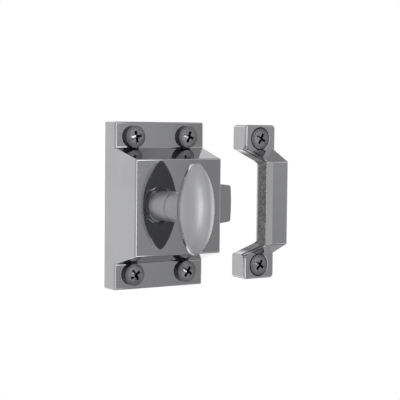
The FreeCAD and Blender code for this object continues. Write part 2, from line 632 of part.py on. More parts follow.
def make_keeper():
    """Cast keeper: the pocket opens to the left and behind, and the bridge's left edge is eased."""
    half = KEEPER_HEIGHT / 2
    fold = half - FOOT_HEIGHT
    crest = fold - KEEPER_SLOPE_RUN
    front = box(KEEPER_LEFT, KEEPER_RIGHT, KEEPER_DEPTH, 0, -half, half)
    front = front.makeFillet(KEEPER_CORNER, [e for e in front.Edges if along_y(e)])
    keeper = keeper_profile(KEEPER_LEFT - BEYOND, KEEPER_RIGHT + BEYOND).common(front)
    past = KEEPER_LEFT - BEYOND
    inset = [
        (past, fold), (KEEPER_LEFT, fold), (LIP_LEFT, crest),
        (LIP_LEFT, -crest), (KEEPER_LEFT, -fold), (past, -fold),
    ]
    keeper = keeper.cut(front_prism(inset, KEEPER_DEPTH + BEYOND, -BEYOND))
    rounded = [e for e in edges_off_back(keeper) if not in_keeper_fold(e)]
    keeper = keeper.makeFillet(KEEPER_EDGE, rounded)
    lip_right = LIP_LEFT + LIP_WIDTH
    lip_fall = LIP_FALL * (LIP_WIDTH + BEYOND) / LIP_WIDTH
    lip = [
        (lip_right, KEEPER_DEPTH), (lip_right, KEEPER_DEPTH + BEYOND),
        (LIP_LEFT - BEYOND, KEEPER_DEPTH + BEYOND), (LIP_LEFT - BEYOND, KEEPER_DEPTH - lip_fall),
    ]
    keeper = keeper.cut(plan_prism(lip, -half, half))
    mouth, roof = POCKET_MOUTH_HEIGHT / 2, POCKET_ROOF_HEIGHT / 2
    roof_depth = KEEPER_DEPTH - BRIDGE_THICKNESS
    pocket = [(0, -mouth), (roof_depth, -roof), (roof_depth, roof), (0, mouth)]
    keeper = keeper.cut(side_prism(pocket, past, KEEPER_RIGHT - KEEPER_WALL))
    for _, x, z in keeper_screw_places():
        keeper = keeper.cut(screw_seat(x, z, FOOT_DEPTH, KEEPER_COUNTERSINK_RADIUS, FOOT_DEPTH))
    return keeper


# Writing every node


def main():
    """Build each piece and write it to its own file."""
    os.makedirs("parts", exist_ok=True)
    save("case", make_case())
    save("back_plate", make_back_plate())
    for row, up in ROWS.items():
        save(f"back_plate_screw_{row}", plate_screw(up * PLATE_SCREW_Z))
    save("bolt", make_bolt())
    save("bolt_guide_pin", make_guide_pin())
    save("bolt_spring", make_spring())
    save("knob", make_knob())
    save("spindle", make_spindle())
    save("cam", make_cam())
    save("cam_washer", make_washer())
    save("cam_screw", make_cam_screw())
    for row, column, x, z in case_screw_places():
        turn = CASE_SCREW_TURN[row, column]
        save(f"case_screw_{row}_{column}", wood_screw(x, z, CASE_SCREW_RIM, turn))
    save("keeper", make_keeper())
    for row, x, z in keeper_screw_places():
        save(f"keeper_screw_{row}", wood_screw(x, z, KEEPER_SCREW_RIM, KEEPER_SCREW_TURN[row]))


main()
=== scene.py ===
"""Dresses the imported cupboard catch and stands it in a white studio.

The catch has chrome castings, steel screws, a spring and inner works.
Every length is in metres in the frame of the CAD: X to the right, Y into the door, Z up.
The front of the catch looks along -Y, and the mounting faces lie in the plane Y = 0.
"""
import json
import logging
import math
from dataclasses import dataclass, field
from enum import Enum
from typing import Callable, Iterable, Sequence, Union

import bmesh
import bpy
from mathutils import Matrix, Vector


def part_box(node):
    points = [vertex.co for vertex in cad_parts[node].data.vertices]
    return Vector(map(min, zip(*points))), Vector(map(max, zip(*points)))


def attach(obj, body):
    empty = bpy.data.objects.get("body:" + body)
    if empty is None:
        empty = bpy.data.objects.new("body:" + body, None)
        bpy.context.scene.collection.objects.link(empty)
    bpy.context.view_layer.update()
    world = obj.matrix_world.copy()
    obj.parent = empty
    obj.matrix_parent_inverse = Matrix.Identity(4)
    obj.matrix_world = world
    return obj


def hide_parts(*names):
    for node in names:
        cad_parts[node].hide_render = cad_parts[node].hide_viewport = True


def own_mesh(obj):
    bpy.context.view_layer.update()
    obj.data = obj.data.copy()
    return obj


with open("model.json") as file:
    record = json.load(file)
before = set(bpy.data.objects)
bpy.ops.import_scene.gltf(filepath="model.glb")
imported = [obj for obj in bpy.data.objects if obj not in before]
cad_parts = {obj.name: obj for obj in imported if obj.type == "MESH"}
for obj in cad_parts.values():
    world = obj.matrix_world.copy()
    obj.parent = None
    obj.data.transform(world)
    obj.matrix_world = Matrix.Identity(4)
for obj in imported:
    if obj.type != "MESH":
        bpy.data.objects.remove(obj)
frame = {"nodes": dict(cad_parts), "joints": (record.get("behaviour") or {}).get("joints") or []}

LOG = logging.getLogger("cupboard_catch")
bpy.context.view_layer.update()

MM = 0.001
SAME_POINT = 0.0005 * MM
QUARTER_TURN = math.pi / 2
Colour = tuple[float, float, float]


class Body(Enum):
    """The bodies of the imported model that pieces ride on."""

    ROOT = "root"
    KNOB = "knob"
    BOLT = "bolt"


class Slot(Enum):
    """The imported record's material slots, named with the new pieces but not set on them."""

    CHROME = "polished_chrome"
    SCREW = "screw_steel"
    SPRING = "spring_steel"


# Shader maths


class Wire:
    """One output of a shader node, or a number, with Python's operators on it."""

    def __init__(self, sheet: "NodeSheet", value: Union[bpy.types.NodeSocket, float]) -> None:
        """Keeps the socket or number and the sheet that new nodes go on."""
        self.sheet = sheet
        self.value = value

    def _math(self, operation: str, *others: Union["Wire", float]) -> "Wire":
        """Adds one Math node.

        Args:
            operation: the Math node's operation.
            others: the values of its further inputs.

        Returns:
            The node's result.
        """
        inputs = dict(enumerate((self, *others)))
        return self.sheet.node("ShaderNodeMath", {"operation": operation}, inputs)

    def __add__(self, other: Union["Wire", float]) -> "Wire":
        """Returns this plus the other."""
        return self._math("ADD", other)

    def __radd__(self, other: float) -> "Wire":
        """Returns the number plus this."""
        return self._math("ADD", other)

    def __sub__(self, other: Union["Wire", float]) -> "Wire":
        """Returns this less the other."""
        return self._math("SUBTRACT", other)

    def __rsub__(self, other: float) -> "Wire":
        """Returns the number less this."""
        return Wire(self.sheet, other)._math("SUBTRACT", self)

    def __mul__(self, other: Union["Wire", float]) -> "Wire":
        """Returns this times the other."""
        return self._math("MULTIPLY", other)

    def __rmul__(self, other: float) -> "Wire":
        """Returns the number times this."""
        return self._math("MULTIPLY", other)

    def angle_with(self, other: "Wire") -> "Wire":
        """Returns the angle whose tangent is this over the other, in radians."""
        return self._math("ARCTAN2", other)

    def size(self) -> "Wire":
        """Returns this without its sign."""
        return self._math("ABSOLUTE")

    def arc_sine(self) -> "Wire":
        """Returns the angle whose sine this is, in radians."""
        return self._math("ARCSINE")

    def larger(self, other: "Wire") -> "Wire":
        """Returns the larger of this and the other."""
        return self._math("MAXIMUM", other)

    def step(self, low: float, high: float) -> "Wire":
        """Goes smoothly from 0 to 1.

        Args:
            low: the value where the step starts.
            high: the value where it has ended.

        Returns:
            The smooth step.
        """
        inputs = {"Value": self, "From Min": low, "From Max": high}
        return self.sheet.node("ShaderNodeMapRange", {"interpolation_type": "SMOOTHSTEP"}, inputs)


class NodeSheet:
    """The node tree of one material or world, filled through one method."""

    def __init__(self, tree: bpy.types.NodeTree) -> None:
        """Clears the tree and keeps it."""
        tree.nodes.clear()
        self.tree = tree

    def node(
        self,
        kind: str,
        settings: dict[str, object],
        inputs: dict[Union[str, int], object],
        output: Union[str, int] = 0,
    ) -> Wire:
        """Adds a node.

        Args:
            kind: Blender's name of the node's type.
            settings: properties that are set before the sockets.
            inputs: values or wires by socket name or number.
            output: the socket that is returned.

        Returns:
            The chosen output, or for a node with none the node's first input.
        """
        made = self.tree.nodes.new(kind)
        for name, value in settings.items():
            setattr(made, name, value)
        for name, value in inputs.items():
            socket = made.inputs[name]
            value = value.value if isinstance(value, Wire) else value
            if isinstance(value, bpy.types.NodeSocket):
                self.tree.links.new(value, socket)
            else:
                socket.default_value = value
        sockets = made.outputs if made.outputs else made.inputs
        return Wire(self, sockets[output])

    def blend(self, share: Wire, first: object, second: object) -> Wire:
        """Mixes two colours.

        Args:
            share: how much of the second there is, from 0 to 1.
            first: the colour at 0.
            second: the colour at 1.

        Returns:
            The mixed colour.
        """
        inputs = {"Factor": share, 6: self.paint(first), 7: self.paint(second)}
        return self.node("ShaderNodeMix", {"data_type": "RGBA"}, inputs, 2)

    @staticmethod
    def paint(colour: object) -> object:
        """Returns a colour of three numbers with its alpha, and a wire as it is."""
        return colour if isinstance(colour, Wire) else (*colour, 1.0)

    def noise(self, scale: float, stretch: Colour = (1.0, 1.0, 1.0), detail: float = 2.0) -> Wire:
        """Adds a noise on the object's own coordinates.

        Args:
            scale: how many features there are in a metre.
            stretch: factor on the coordinates along X, Y and Z.
            detail: how many finer layers it has.

        Returns:
            The noise's value, around 0.5.
        """
        place = self.node("ShaderNodeTexCoord", {}, {}, "Object")
        place = self.node("ShaderNodeMapping", {}, {"Vector": place, "Scale": stretch})
        inputs = {"Vector": place, "Scale": scale, "Detail": detail}
        return self.node("ShaderNodeTexNoise", {}, inputs, "Fac")

    def along(self, axis: str) -> Wire:
        """Returns the place along one of the object's own axes, in metres."""
        place = self.node("ShaderNodeTexCoord", {}, {}, "Object")
        return self.node("ShaderNodeSeparateXYZ", {}, {"Vector": place}, axis)

    def bump(self, height: Wire, distance: float) -> Wire:
        """Turns a height from 0 to 1 into a normal.

        Args:
            height: the height.
            distance: how far 1 stands out, in metres.

        Returns:
            The bent normal.
        """
        inputs = {"Height": height, "Distance": distance, "Strength": 1.0}
        return self.node("ShaderNodeBump", {}, inputs, "Normal")

    def surface(self, inputs: dict[str, object]) -> None:
        """Adds the Principled shader with these inputs, and the material's output."""
        shader = self.node("ShaderNodeBsdfPrincipled", {}, inputs)
        self.node("ShaderNodeOutputMaterial", {}, {"Surface": shader})


def new_sheet(name: str) -> tuple[bpy.types.Material, NodeSheet]:
    """Makes an empty node material.

    Args:
        name: the material's name.

    Returns:
        The material and the sheet of its nodes.
    """
    material = bpy.data.materials.new(name)
    material.use_nodes = True
    return material, NodeSheet(material.node_tree)


# Finishes


@dataclass(frozen=True)
class ChromeFinish:
    """Bright chrome plate on a polished casting, nearly a mirror.

    It has faint ripples, smudges and wiping marks.
    """

    name: str
    tint: Colour = (0.50, 0.502, 0.512)
    roughness: float = 0.035
    dull_roughness: float = 0.3
    smudge_scale: float = 95.0
    smudge_edges: tuple[float, float] = (0.46, 0.72)
    smudge_tint: Colour = (0.2, 0.2, 0.2)
    smudge_share: float = 0.08
    smudge_roughness: float = 0.05
    wiping_scale: float = 420.0
    wiping_stretch: Colour = (6.0, 1.0, 0.4)
    wiping_roughness: float = 0.02
    scratch_height: float = 0.0004 * MM
    ripple_scale: float = 70.0
    ripple_height: float = 0.012 * MM

    def dull_share(self, sheet: NodeSheet) -> Union[Wire, None]:
        """Returns where the plate is less polished, from 0 to 1, or None for nowhere."""
        return None

    def colour(self, sheet: NodeSheet) -> Union[Wire, Colour]:
        """Returns the plate's own colour."""
        return self.tint

    def make(self) -> bpy.types.Material:
        """Returns the finished material."""
        material, sheet = new_sheet(self.name)
        smudges = sheet.noise(self.smudge_scale, detail=4.0).step(*self.smudge_edges)
        wiping = sheet.noise(self.wiping_scale, self.wiping_stretch, 3.0)
        ripple = sheet.noise(self.ripple_scale, detail=1.0)
        marks = wiping * (self.scratch_height / self.ripple_height)
        roughness = smudges * self.smudge_roughness + wiping * self.wiping_roughness
        roughness = self.roughness + roughness
        share = self.dull_share(sheet)
        if share is not None:
            roughness = roughness + share * (self.dull_roughness - self.roughness)
        plate = self.colour(sheet)
        sheet.surface(
            {
                "Base Color": sheet.blend(smudges * self.smudge_share, plate, self.smudge_tint),
                "Metallic": 1.0,
                "Roughness": roughness,
                "Normal": sheet.bump(ripple + marks, self.ripple_height),
            }
        )
        return material


@dataclass(frozen=True)
class KnobFinish(ChromeFinish):
    """The knob's chrome, from its satin dome in front to its turned stem, which carries a painted
    highlight.

    The rim between dome and back is bright, and painted shade darkens the back and the neck.
    """

    dome_edge: float = -28.6 * MM
    back_edge: float = -27.6 * MM
    stem_end: float = -26.0 * MM
    blend_length: float = 0.7 * MM
    back_blend: float = 0.2 * MM
    # Painted shade on the knob's back and neck, and a painted highlight on its stem.
    back_painted_shade_tint: Colour = (0.26, 0.26, 0.265)
    stem_painted_highlight_tint: Colour = (0.92, 0.92, 0.93)

    def on_stem(self, depth: Wire) -> Wire:
        """Returns 1 on the stem and 0 in front of it, from the depth along Y."""
        return depth.step(self.stem_end - self.blend_length, self.stem_end)

    def dull_share(self, sheet: NodeSheet) -> Wire:
        """Returns 1 on the dome and on the stem, and 0 on the rim and the back."""
        depth = sheet.along("Y")
        dome = 1 - depth.step(self.dome_edge - self.blend_length, self.dome_edge)
        return dome + self.on_stem(depth)

    def colour(self, sheet: NodeSheet) -> Wire:
        """Returns the plate's colour, with painted shade on the back and neck and a painted
        highlight on the stem.
        """
        depth = sheet.along("Y")
        # Painted shade on the back and neck, then a painted highlight on the stem.
        back_shade_share = depth.step(self.back_edge, self.back_edge + self.back_blend)
        front = sheet.blend(back_shade_share, self.tint, self.back_painted_shade_tint)
        return sheet.blend(self.on_stem(depth), front, self.stem_painted_highlight_tint)


@dataclass(frozen=True)
class KeeperFinish(ChromeFinish):
    """The keeper's chrome, rougher and dark in colour on the end face of its bridge, where the bolt
    goes in.
    """

    dull_roughness: float = 0.34
    # A dark colour over the bridge's end face, broken up by blotches.
    end_face_dark_tint: Colour = (0.10, 0.10, 0.10)
    end_start: float = 36.95 * MM
    end_stop: float = 37.15 * MM
    end_half_height: float = 16.2 * MM
    end_height_blend: float = 1.5 * MM
    blotch_scale: float = 1400.0
    blotch_edges: tuple[float, float] = (0.38, 0.62)
    blotch_share: float = 0.2

    def dull_share(self, sheet: NodeSheet) -> Wire:
        """Returns 1 on the bridge's end face, with blotches, and 0 elsewhere."""
        end_face = 1 - sheet.along("X").step(self.end_start, self.end_stop)
        height = sheet.along("Z").size()
        bridge_end = self.end_half_height + self.end_height_blend
        bridge = 1 - height.step(self.end_half_height, bridge_end)
        blotches = sheet.noise(self.blotch_scale, detail=4.0).step(*self.blotch_edges)
        cover = 1 - self.blotch_share + blotches * self.blotch_share
        return end_face * bridge * cover

    def colour(self, sheet: NodeSheet) -> Wire:
        """Returns the plate's colour, dark on the bridge's end face."""
        return sheet.blend(self.dull_share(sheet), self.tint, self.end_face_dark_tint)


@dataclass(frozen=True)
class SteelFinish:
    """Plated steel with fine turning or drawing marks and a little grime."""

    name: str
    tint: Colour
    roughness: float = 0.22
    grain_scale: float = 900.0
    grain_stretch: Colour = (1.0, 1.0, 1.0)
    grain_height: float = 0.002 * MM
    grain_roughness: float = 0.35
    grime: float = 0.3
    grime_scale: float = 260.0
    grime_edges: tuple[float, float] = (0.45, 0.75)
    grime_roughness: float = 0.5

    def make(self) -> bpy.types.Material:
        """Returns the finished material."""
        material, sheet = new_sheet(self.name)
        grain = sheet.noise(self.grain_scale, self.grain_stretch, 3.0)
        patches = sheet.noise(self.grime_scale, detail=4.0).step(*self.grime_edges)
        grimy = tuple((1.0 - self.grime) * part for part in self.tint)
        rougher = patches * self.grime_roughness + grain * self.grain_roughness + 1.0
        sheet.surface(
            {
                "Base Color": sheet.blend(patches, self.tint, grimy),
                "Metallic": 1.0,
                "Roughness": rougher * self.roughness,
                "Normal": sheet.bump(grain, self.grain_height),
            }
        )
        return material


@dataclass(frozen=True)
class Finishes:
    """The finishes of this catch, one for each kind of piece."""

    case: ChromeFinish = ChromeFinish("case_chrome")
    keeper: ChromeFinish = KeeperFinish("keeper_chrome")
    knob: ChromeFinish = KnobFinish("knob_chrome", dull_roughness=0.40, ripple_height=0.006 * MM)
    screw: SteelFinish = SteelFinish(
        "dark_screw_steel", (0.19, 0.191, 0.196), roughness=0.36, grime=0.15
    )
    # Painted shade for the screw head's side and recess, and a painted glint for the recess's
    # bottom.
    screw_shade: SteelFinish = SteelFinish(
        "painted_shade_screw_steel", (0.03, 0.03, 0.03), roughness=0.35
    )
    screw_glint: SteelFinish = SteelFinish(
        "painted_glint_screw_steel", (0.92, 0.92, 0.92), roughness=0.2, grime=0.0
    )
    plate: SteelFinish = SteelFinish(
        "rolled_plate_steel",
        (0.46, 0.46, 0.465),
        roughness=0.3,
        grain_scale=500.0,
        grain_stretch=(0.2, 1.0, 3.0),
    )
    works: SteelFinish = SteelFinish("oiled_works_steel", (0.52, 0.52, 0.53), roughness=0.24)
    spring: SteelFinish = SteelFinish("drawn_spring_wire", (0.36, 0.36, 0.37), roughness=0.2)


# Modelling


def deselect_all() -> None:
    """Leaves edit mode and deselects every object."""
    if bpy.context.mode != "OBJECT":
        bpy.ops.object.mode_set(mode="OBJECT")
    bpy.ops.object.select_all(action="DESELECT")


def pick_piece(piece: bpy.types.Object) -> None:
    """Makes one piece the only selected one, and the active one."""
    deselect_all()
    piece.select_set(True)
    bpy.context.view_layer.objects.active = piece


def apply_place() -> None:
    """Puts the active piece's place, turn and scale into its mesh."""
    bpy.ops.object.transform_apply(location=True, rotation=True, scale=True)


class Workpiece:
    """A mesh piece on the bench, shaped with the modelling operators."""

    def __init__(self, piece: bpy.types.Object) -> None:
        """Keeps the piece."""
        self.piece = piece

    @classmethod
    def added(cls, name: str) -> "Workpiece":
        """Returns the primitive that was just added, named and with its place in its mesh."""
        piece = bpy.context.active_object
        piece.name = name
        piece.data.name = name
        apply_place()
        return cls(piece)

    @classmethod
    def rod(cls, name: str, radius: float, front: float, back: float, sides: int) -> "Workpiece":
        """Adds a round slice about the Y axis.

        Args:
            name: the piece's name.
            radius: its radius.
            front: the Y of its front face.
            back: the Y of its back face.
            sides: how many flats it has.

        Returns:
            The piece.
        """
        deselect_all()
        bpy.ops.mesh.primitive_cylinder_add(
            vertices=sides,
            radius=radius,
            depth=back - front,
            location=(0, (front + back) / 2, 0),
            rotation=(QUARTER_TURN, 0, 0),
        )
        return cls.added(name)

    def edit(self) -> None:
        """Starts edit mode with nothing selected, picking faces."""
        pick_piece(self.piece)
        bpy.ops.object.mode_set(mode="EDIT")
        bpy.context.tool_settings.mesh_select_mode = (False, False, True)
        bpy.ops.mesh.select_all(action="DESELECT")

    def done(self) -> "Workpiece":
        """Ends edit mode and returns the piece."""
        bpy.ops.object.mode_set(mode="OBJECT")
        return self

    def pick_faces(self, wanted: Callable[[Vector, Vector], bool]) -> None:
        """Selects faces in edit mode.

        Args:
            wanted: tells from a face's middle and normal if it is selected.
        """
        bpy.ops.mesh.select_all(action="DESELECT")
        shape = bmesh.from_edit_mesh(self.piece.data)
        for face in shape.faces:
            face.select_set(wanted(face.calc_center_median(), face.normal))
        bmesh.update_edit_mesh(self.piece.data)

    def pick_vertices(self, wanted: Callable[[Vector], bool]) -> None:
        """Selects vertices in edit mode.

        Args:
            wanted: tells from a vertex's place if it is selected.
        """
        bpy.context.tool_settings.mesh_select_mode = (True, False, False)
        bpy.ops.mesh.select_all(action="DESELECT")
        shape = bmesh.from_edit_mesh(self.piece.data)
        for vertex in shape.verts:
            vertex.select_set(wanted(vertex.co))
        shape.select_flush(True)
        bmesh.update_edit_mesh(self.piece.data)

    def turn_profile(
        self,
        facing: float,
        start: tuple[float, float],
        points: Sequence[tuple[float, float]],
    ) -> None:
        """Extrudes a round end face along Y through a row of radii.

        Args:
            facing: -1 for the front end and 1 for the back end.
            start: the end face's radius and Y.
            points: the radius and Y of each further ring.
        """
        radius, place = start
        self.pick_faces(
            lambda middle, normal: normal.y * facing > 0.9 and abs(middle.y - place) < SAME_POINT
        )
        for next_radius, next_place in points:
            bpy.ops.mesh.extrude_region()
            bpy.ops.transform.translate(value=(0, next_place - place, 0))
            factor = next_radius / radius
            bpy.ops.transform.resize(value=(factor, 1, factor), center_override=(0, next_place, 0))
            radius, place = next_radius, next_place

    def modify(self, kind: str, **settings: object) -> "Workpiece":
        """Adds a modifier and applies it.

        Args:
            kind: the modifier's type.
            settings: its properties.

        Returns:
            The piece.
        """
        pick_piece(self.piece)
        modifier = self.piece.modifiers.new(kind.title(), kind)
        for name, value in settings.items():
            setattr(modifier, name, value)
        bpy.ops.object.modifier_apply(modifier=modifier.name)
        return self

    def cut(self, cutter: "Workpiece") -> "Workpiece":
        """Cuts away what the cutter fills, and removes the cutter."""
        self.modify("BOOLEAN", operation="DIFFERENCE", solver="EXACT", object=cutter.piece)
        bpy.data.objects.remove(cutter.piece)
        return self

    def join(self, others: Iterable["Workpiece"]) -> "Workpiece":
        """Joins other pieces into this one."""
        pick_piece(self.piece)
        for other in others:
            other.piece.select_set(True)
        bpy.ops.object.join()
        return self

    def merge_doubles(self) -> "Workpiece":
        """Joins vertices in one place and points every face outwards."""
        self.edit()
        bpy.ops.mesh.select_all(action="SELECT")
        bpy.ops.mesh.remove_doubles(threshold=SAME_POINT)
        bpy.ops.mesh.normals_make_consistent(inside=False)
        return self.done()

    def smooth(self, degrees: float) -> "Workpiece":
        """Shades smoothly across edges flatter than an angle, with the large faces leading."""
        pick_piece(self.piece)
        bpy.ops.object.shade_smooth_by_angle(angle=math.radians(degrees))
        return self.modify("WEIGHTED_NORMAL", keep_sharp=True)

    def copy(self, name: str, turn: float = 0.0, place: Sequence[float] = (0, 0, 0)) -> "Workpiece":
        """Copies the piece with a mesh of its own.

        Args:
            name: the copy's name.
            turn: its turn about Y, in degrees, clockwise from the front.
            place: how far it is moved.

        Returns:
            The copy.
        """
        mesh = self.piece.data.copy()
        mesh.name = name
        piece = bpy.data.objects.new(name, mesh)
        bpy.context.scene.collection.objects.link(piece)
        piece.rotation_euler = (0, math.radians(turn), 0)
        piece.location = place
        pick_piece(piece)
        apply_place()
        return Workpiece(piece)

    def dress(
        self, body: Body, slot: Slot, material: bpy.types.Material, nodes: Sequence[str]
    ) -> None:
        """Finishes the piece and puts it in the place of its CAD nodes.

        Args:
            body: the body that it rides on.
            slot: its material slot in the record, which is not used.
            material: its finish.
            nodes: the CAD nodes that it stands for.
        """
        self.piece.data.materials.clear()
        self.piece.data.materials.append(material)
        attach(self.piece, body.value)
        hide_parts(*nodes)
        LOG.info("%s: %d faces on %s", self.piece.name, len(self.piece.data.polygons), body.value)


# The catch's own pieces


@dataclass
class Casting:
    """One chromed casting, as the CAD shapes it.

    Its loose triangles are joined, its rounds are shaded smoothly and its large flats flat.
    """

    node: str
    body: Body
    smooth_angle: float = 24.0
    flat_area: float = 4.0 * MM * MM
    in_line: float = 0.9999

    def polish(self) -> Workpiece:
        """Returns a joined copy of the casting."""
        piece = Workpiece(frame["nodes"][self.node]).copy(f"{self.node}_polished").merge_doubles()
        pick_piece(piece.piece)
        bpy.ops.mesh.customdata_custom_splitnormals_clear()
        return piece

    def flatten(self, piece: Workpiece) -> None:
        """Shades the large flats, and all that lies in line with one of them, without any bend."""
        mesh = piece.piece.data
        flats: list[Vector] = []
        for face in mesh.polygons:
            known = any(face.normal.dot(flat) >= self.in_line for flat in flats)
            if face.area > self.flat_area and not known:
                flats.append(face.normal.copy())
        for face in mesh.polygons:
            if any(face.normal.dot(flat) > self.in_line for flat in flats):
                face.use_smooth = False

    def build(self, material: bpy.types.Material) -> None:
        """Makes and dresses the piece.

        Args:
            material: the chrome that it gets.
        """
        piece = self.polish()
        pick_piece(piece.piece)
        bpy.ops.object.shade_smooth_by_angle(angle=math.radians(self.smooth_angle))
        self.flatten(piece)
        piece.dress(self.body, Slot.CHROME, material, [self.node])


@dataclass
class CaseCasting(Casting):
    """The case, with the small rounds that polishing leaves on its long outer edges."""

    edge_round: float = 0.42 * MM
    round_steps: int = 4
    shortest_edge: float = 1.0 * MM
    sharp_angle: float = 25.0
    flat_angle: float = 0.3
    side_depth: float = 1.4 * MM

    def is_outer(self, middle: Vector) -> bool:
        """Tells whether an edge with this middle lies on the outside of the case."""
        low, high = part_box(self.node)
        on_side = middle.x < low.x + self.side_depth or middle.x > high.x - self.side_depth
        on_end = middle.z < low.z + SAME_POINT or middle.z > high.z - SAME_POINT
        on_front = middle.y < low.y + SAME_POINT
        return middle.y < -SAME_POINT and (on_side or on_end or on_front)

    def polish(self) -> Workpiece:
        """Returns a joined copy with rounded outer edges."""
        piece = super().polish()
        piece.edit()
        bpy.ops.mesh.select_all(action="SELECT")
        bpy.ops.mesh.dissolve_limited(angle_limit=math.radians(self.flat_angle))
        shape = bmesh.from_edit_mesh(piece.piece.data)
        weight = shape.edges.layers.float.new("bevel_weight_edge")
        limit = math.radians(self.sharp_angle)
        for edge in shape.edges:
            middle = (edge.verts[0].co + edge.verts[1].co) / 2
            sharp = len(edge.link_faces) == 2 and edge.calc_face_angle() > limit
            if sharp and edge.calc_length() > self.shortest_edge and self.is_outer(middle):
                edge[weight] = 1.0
        bmesh.update_edit_mesh(piece.piece.data)
        piece.done()
        return piece.modify(
            "BEVEL", width=self.edge_round, segments=self.round_steps, limit_method="WEIGHT"
        )


@dataclass
class WoodScrew:
    """A raised-head wood screw along Y.

    Y = 0 is the front of its rim, and its crown is in front of that.
    """

    head_radius: float = 3.55 * MM
    rim: float = 0.35 * MM
    crown: float = 0.5 * MM
    shank_radius: float = 1.35 * MM
    core_radius: float = 1.15 * MM
    core_start: float = 7.15 * MM
    core_taper: float = 0.25 * MM
    thread_radius: float = 1.75 * MM
    thread_start: float = 7.45 * MM
    thread_pitch: float = 1.3 * MM
    thread_stop: float = 12.1 * MM
    thread_steps: int = 24
    thread_wire: float = 0.62
    thread_flatness: float = 0.75
    point_start: float = 10.2 * MM
    point_slabs: int = 16
    point_taper: float = 0.85
    point_neck: float = 11.8 * MM
    point_radius: float = 0.05 * MM
    length: float = 12.7 * MM
    countersink: float = 2.53 * MM
    recess_radius: float = 2.2 * MM
    recess_floor_radius: float = 0.8 * MM
    recess_arm: float = 1.0 * MM
    recess_arm_taper: float = 0.7
    recess_depth: float = 1.7 * MM
    recess_margin: float = 0.4 * MM
    edge_round: float = 0.05 * MM
    edge_angle: float = 32.0
    smooth_angle: float = 13.0
    sides: int = 72
    crown_rings: int = 11
    crown_power: float = 4.0
    crown_crowding: float = 1.6

    def crown_profile(self) -> list[tuple[float, float]]:
        """Returns the radius and Y of each ring of the crown, from the rim to its middle."""
        rings = []
        for i in range(1, self.crown_rings + 1):
            share = 1 - (i / (self.crown_rings + 0.5)) ** self.crown_crowding
            rings.append((self.head_radius * share, self.crown * (share**self.crown_power - 1)))
        return rings

    def make_recess(self) -> Workpiece:
        """Returns the cutter of the cross recess: two tapered arms."""
        arms = []
        front, back = -self.crown - self.recess_margin, self.recess_depth - self.crown
        for turn in (0.0, 90.0):
            deselect_all()
            bpy.ops.mesh.primitive_cube_add(size=1, location=(0, (front + back) / 2, 0))
            block = bpy.context.active_object
            block.scale = (2 * self.recess_radius, back - front, self.recess_arm)
            arm = Workpiece.added(f"recess_arm_{turn:.0f}")
            arm.edit()
            arm.pick_faces(lambda middle, normal: normal.y > 0.9)
            narrow = self.recess_floor_radius / self.recess_radius
            tapers = (narrow, 1, self.recess_arm_taper)
            bpy.ops.transform.resize(value=tapers, center_override=(0, back, 0))
            arm.done()
            arms.append(arm.copy(f"recess_{turn:.0f}", turn))
            bpy.data.objects.remove(arm.piece)
        arms[0].modify("BOOLEAN", operation="UNION", solver="EXACT", object=arms[1].piece)
        bpy.data.objects.remove(arms[1].piece)
        return arms[0]

    def make_thread(self) -> Workpiece:
        """Returns the thread: a three-sided wire wound about the core and drawn in to the point."""
        deselect_all()
        wire = (self.thread_radius - self.core_radius) * self.thread_wire
        bpy.ops.mesh.primitive_circle_add(vertices=3, radius=wire, rotation=(0, QUARTER_TURN, 0))
        thread = Workpiece.added("thread")
        thread.edit()
        bpy.ops.mesh.select_all(action="SELECT")
        bpy.ops.transform.resize(value=(1, self.thread_flatness, 1), center_override=(0, 0, 0))
        bpy.ops.transform.translate(value=(0, self.thread_start, self.thread_radius - wire))
        thread.done()
        turns = (self.thread_stop - self.thread_start) / self.thread_pitch
        steps = round(self.thread_steps * turns)
        thread.modify(
            "SCREW",
            axis="Y",
            angle=math.radians(360 * turns),
            screw_offset=self.thread_pitch * turns,
            steps=steps,
            render_steps=steps,
            use_smooth_shade=True,
        )
        thread.edit()
        bpy.context.tool_settings.mesh_select_mode = (True, False, False)
        bpy.ops.mesh.select_all(action="SELECT")
        bpy.ops.mesh.fill_holes(sides=0)
        step = (self.length - self.point_start) / self.point_slabs
        for i in range(self.point_slabs):
            low = self.point_start + i * step
            thread.pick_vertices(lambda co: low < co.y <= low + step)
            narrow = 1 - self.point_taper * (i + 0.5) / self.point_slabs
            bpy.ops.transform.resize(value=(narrow, 1, narrow), center_override=(0, low, 0))
        return thread.done().merge_doubles()

    def build(self) -> Workpiece:
        """Returns the screw, unturned, at the origin."""
        screw = Workpiece.rod("wood_screw", self.head_radius, 0.0, self.rim, self.sides)
        screw.edit()
        screw.turn_profile(-1, (self.head_radius, 0.0), self.crown_profile())
        neck = self.rim + self.countersink
        screw.turn_profile(
            1,
            (self.head_radius, self.rim),
            [
                (self.shank_radius, neck),
                (self.shank_radius, self.core_start),
                (self.core_radius, self.core_start + self.core_taper),
                (self.core_radius, self.point_start),
                (self.core_radius / 2, self.point_neck),
                (self.point_radius, self.length),
            ],
        )
        screw.done().merge_doubles()
        screw.cut(self.make_recess())
        screw.modify(
            "BEVEL",
            width=self.edge_round,
            segments=2,
            limit_method="ANGLE",
            angle_limit=math.radians(self.edge_angle),
        )
        screw.smooth(self.smooth_angle)
        return screw.join([self.make_thread()])

    def finish_index(self, middle: Vector, normal: Vector) -> int:
        """Picks a face's finish on the unturned screw at the origin.

        Args:
            middle: the face's middle.
            normal: its normal.

        Returns:
            0 for the plain head and shank, 1 for the painted shade on the head's side and in the
            recess, and
            2 for the painted glint at the bottom of the recess.
        """
        radius = math.hypot(middle.x, middle.z)
        if middle.y > self.rim:
            in_recess = radius < self.core_radius * 0.9 and middle.y < self.recess_depth
        else:
            in_recess = radius < self.recess_radius + self.recess_arm and abs(normal.y) < 0.9
        if in_recess:
            # The recess and the head's side get painted shade, and the recess's bottom gets a
            # painted glint.
            return 2 if radius < self.recess_floor_radius and normal.y < -0.3 else 1
        on_side = radius > 0.94 * self.head_radius and abs(normal.y) < 0.4
        return 1 if on_side else 0


